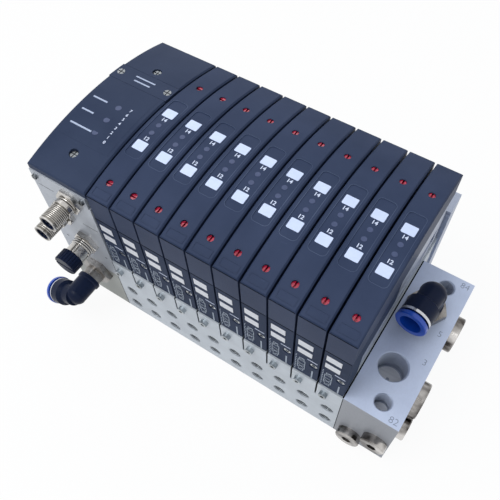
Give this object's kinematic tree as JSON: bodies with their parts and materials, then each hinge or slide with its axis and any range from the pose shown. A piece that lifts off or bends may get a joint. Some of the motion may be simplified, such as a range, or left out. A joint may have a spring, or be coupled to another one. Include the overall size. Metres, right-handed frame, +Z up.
{
  "type": "pneumatic valve island",
  "caption": "Manifold-mounted pneumatic valve island with slim arched double-solenoid valves, a bus module with round connectors, a port end plate, elbow fittings and a rear wiring duct.",
  "frame": {"origin": "underside, at the middle of the island's length and of the manifold's depth", "axes": "+X along the row to the port end plate, -Y out of the outlet side, +Z up"},
  "size_m": [0.2686, 0.1906, 0.1452],
  "materials": {
    "housing": "fine satin moulded plastic, dark blue grey",
    "front_cap": "satin moulded plastic, dark grey",
    "override_red": "red moulded plastic",
    "aluminium": "satin anodised aluminium",
    "plate": "satin natural anodised sheet",
    "steel": "zinc plated steel",
    "nickel": "nickel plated brass",
    "black_plastic": "black moulded plastic",
    "ring_blue": "blue moulded plastic",
    "dial": "light grey plastic",
    "gasket": "black flat rubber",
    "lens": "smoky clear plastic, unlit"
  },
  "bodies": {
    "island": {"address_cover": "housing", "bus_housing": "housing", "bus_in_connector": "nickel", "bus_out_connector": "nickel", "connector_nuts": "nickel", "connector_plate": "plate", "contact_inserts": "black_plastic", "housing_screws": "steel", "left_elbow_stem": "nickel", "left_end_block": "aluminium", "manifold_block": "aluminium", "manifold_screws": "steel", "port_end_plate": "aluminium", "port_plugs": "steel", "power_connector": "nickel", "right_elbow_stem": "nickel", "spools": "steel", "status_lenses": "lens", "valve_bodies": "aluminium", "valve_cover_01": "housing", "valve_cover_02": "housing", "valve_cover_03": "housing", "valve_cover_04": "housing", "valve_cover_05": "housing", "valve_cover_06": "housing", "valve_cover_07": "housing", "valve_cover_08": "housing", "valve_cover_09": "housing", "valve_cover_10": "housing", "valve_front_caps": "front_cap", "valve_gaskets": "gasket", "valve_screws": "steel", "wiring_duct": "aluminium"},
    "override_12_01": {"override_12_01": "override_red"},
    "override_14_01": {"override_14_01": "override_red"},
    "override_12_02": {"override_12_02": "override_red"},
    "override_14_02": {"override_14_02": "override_red"},
    "override_12_03": {"override_12_03": "override_red"},
    "override_14_03": {"override_14_03": "override_red"},
    "override_12_04": {"override_12_04": "override_red"},
    "override_14_04": {"override_14_04": "override_red"},
    "override_12_05": {"override_12_05": "override_red"},
    "override_14_05": {"override_14_05": "override_red"},
    "override_12_06": {"override_12_06": "override_red"},
    "override_14_06": {"override_14_06": "override_red"},
    "override_12_07": {"override_12_07": "override_red"},
    "override_14_07": {"override_14_07": "override_red"},
    "override_12_08": {"override_12_08": "override_red"},
    "override_14_08": {"override_14_08": "override_red"},
    "override_12_09": {"override_12_09": "override_red"},
    "override_14_09": {"override_14_09": "override_red"},
    "override_12_10": {"override_12_10": "override_red"},
    "override_14_10": {"override_14_10": "override_red"},
    "dust_cap": {"dust_cap": "black_plastic"},
    "left_elbow": {"left_elbow_body": "black_plastic"},
    "left_release_ring": {"left_release_ring": "ring_blue"},
    "right_elbow": {"right_elbow_body": "black_plastic"},
    "right_release_ring": {"right_release_ring": "ring_blue"},
    "address_dial_1": {"address_dial_1": "dial"},
    "address_dial_2": {"address_dial_2": "dial"}
  },
  "joints": [
    {"name": "override_12_01_turn", "type": "hinge", "parent": "island", "child": "override_12_01", "pos_m": [-0.076, -0.0542, 0.13284], "axis": [0, 0, 1], "range_deg": [-90, 0]},
    {"name": "override_14_01_turn", "type": "hinge", "parent": "island", "child": "override_14_01", "pos_m": [-0.076, 0.036, 0.13383], "axis": [0, 0, 1], "range_deg": [-90, 0]},
    {"name": "override_12_02_turn", "type": "hinge", "parent": "island", "child": "override_12_02", "pos_m": [-0.058, -0.0542, 0.13284], "axis": [0, 0, 1], "range_deg": [-90, 0]},
    {"name": "override_14_02_turn", "type": "hinge", "parent": "island", "child": "override_14_02", "pos_m": [-0.058, 0.036, 0.13383], "axis": [0, 0, 1], "range_deg": [-90, 0]},
    {"name": "override_12_03_turn", "type": "hinge", "parent": "island", "child": "override_12_03", "pos_m": [-0.04, -0.0542, 0.13284], "axis": [0, 0, 1], "range_deg": [0, 90]},
    {"name": "override_14_03_turn", "type": "hinge", "parent": "island", "child": "override_14_03", "pos_m": [-0.04, 0.036, 0.13383], "axis": [0, 0, 1], "range_deg": [0, 90]},
    {"name": "override_12_04_turn", "type": "hinge", "parent": "island", "child": "override_12_04", "pos_m": [-0.022, -0.0542, 0.13284], "axis": [0, 0, 1], "range_deg": [0, 90]},
    {"name": "override_14_04_turn", "type": "hinge", "parent": "island", "child": "override_14_04", "pos_m": [-0.022, 0.036, 0.13383], "axis": [0, 0, 1], "range_deg": [0, 90]},
    {"name": "override_12_05_turn", "type": "hinge", "parent": "island", "child": "override_12_05", "pos_m": [-0.004, -0.0542, 0.13284], "axis": [0, 0, 1], "range_deg": [0, 90]},
    {"name": "override_14_05_turn", "type": "hinge", "parent": "island", "child": "override_14_05", "pos_m": [-0.004, 0.036, 0.13383], "axis": [0, 0, 1], "range_deg": [0, 90]},
    {"name": "override_12_06_turn", "type": "hinge", "parent": "island", "child": "override_12_06", "pos_m": [0.014, -0.0542, 0.13284], "axis": [0, 0, 1], "range_deg": [0, 90]},
    {"name": "override_14_06_turn", "type": "hinge", "parent": "island", "child": "override_14_06", "pos_m": [0.014, 0.036, 0.13383], "axis": [0, 0, 1], "range_deg": [0, 90]},
    {"name": "override_12_07_turn", "type": "hinge", "parent": "island", "child": "override_12_07", "pos_m": [0.032, -0.0542, 0.13284], "axis": [0, 0, 1], "range_deg": [0, 90]},
    {"name": "override_14_07_turn", "type": "hinge", "parent": "island", "child": "override_14_07", "pos_m": [0.032, 0.036, 0.13383], "axis": [0, 0, 1], "range_deg": [0, 90]},
    {"name": "override_12_08_turn", "type": "hinge", "parent": "island", "child": "override_12_08", "pos_m": [0.05, -0.0542, 0.13284], "axis": [0, 0, 1], "range_deg": [0, 90]},
    {"name": "override_14_08_turn", "type": "hinge", "parent": "island", "child": "override_14_08", "pos_m": [0.05, 0.036, 0.13383], "axis": [0, 0, 1], "range_deg": [0, 90]},
    {"name": "override_12_09_turn", "type": "hinge", "parent": "island", "child": "override_12_09", "pos_m": [0.068, -0.0542, 0.13284], "axis": [0, 0, 1], "range_deg": [0, 90]},
    {"name": "override_14_09_turn", "type": "hinge", "parent": "island", "child": "override_14_09", "pos_m": [0.068, 0.036, 0.13383], "axis": [0, 0, 1], "range_deg": [0, 90]},
    {"name": "override_12_10_turn", "type": "hinge", "parent": "island", "child": "override_12_10", "pos_m": [0.086, -0.0542, 0.13284], "axis": [0, 0, 1], "range_deg": [0, 90]},
    {"name": "override_14_10_turn", "type": "hinge", "parent": "island", "child": "override_14_10", "pos_m": [0.086, 0.036, 0.13383], "axis": [0, 0, 1], "range_deg": [0, 90]},
    {"name": "dust_cap_turn", "type": "hinge", "parent": "island", "child": "dust_cap", "pos_m": [-0.103, -0.089, 0.0736], "axis": [0, -1, 0], "continuous": true},
    {"name": "left_elbow_swivel", "type": "hinge", "parent": "island", "child": "left_elbow", "pos_m": [-0.1042, -0.068, 0.036], "axis": [0, -1, 0], "continuous": true},
    {"name": "left_ring_press", "type": "slide", "parent": "left_elbow", "child": "left_release_ring", "axis": [0.8878, 0, 0.4602], "range_m": [0, 0.0015], "stiffness_N_per_m": 600},
    {"name": "right_elbow_swivel", "type": "hinge", "parent": "island", "child": "right_elbow", "pos_m": [0.1112, 0.0133, 0.063], "axis": [0, 0, 1], "range_deg": [-2, 195]},
    {"name": "right_ring_press", "type": "slide", "parent": "right_elbow", "child": "right_release_ring", "axis": [0.1132, 0.9936, 0], "range_m": [0, 0.0015], "stiffness_N_per_m": 600},
    {"name": "address_dial_1_turn", "type": "hinge", "parent": "island", "child": "address_dial_1", "pos_m": [-0.1145, 0.0198, 0.13209], "axis": [0, 0, 1], "continuous": true},
    {"name": "address_dial_2_turn", "type": "hinge", "parent": "island", "child": "address_dial_2", "pos_m": [-0.1025, 0.0198, 0.13209], "axis": [0, 0, 1], "continuous": true}
  ]
}
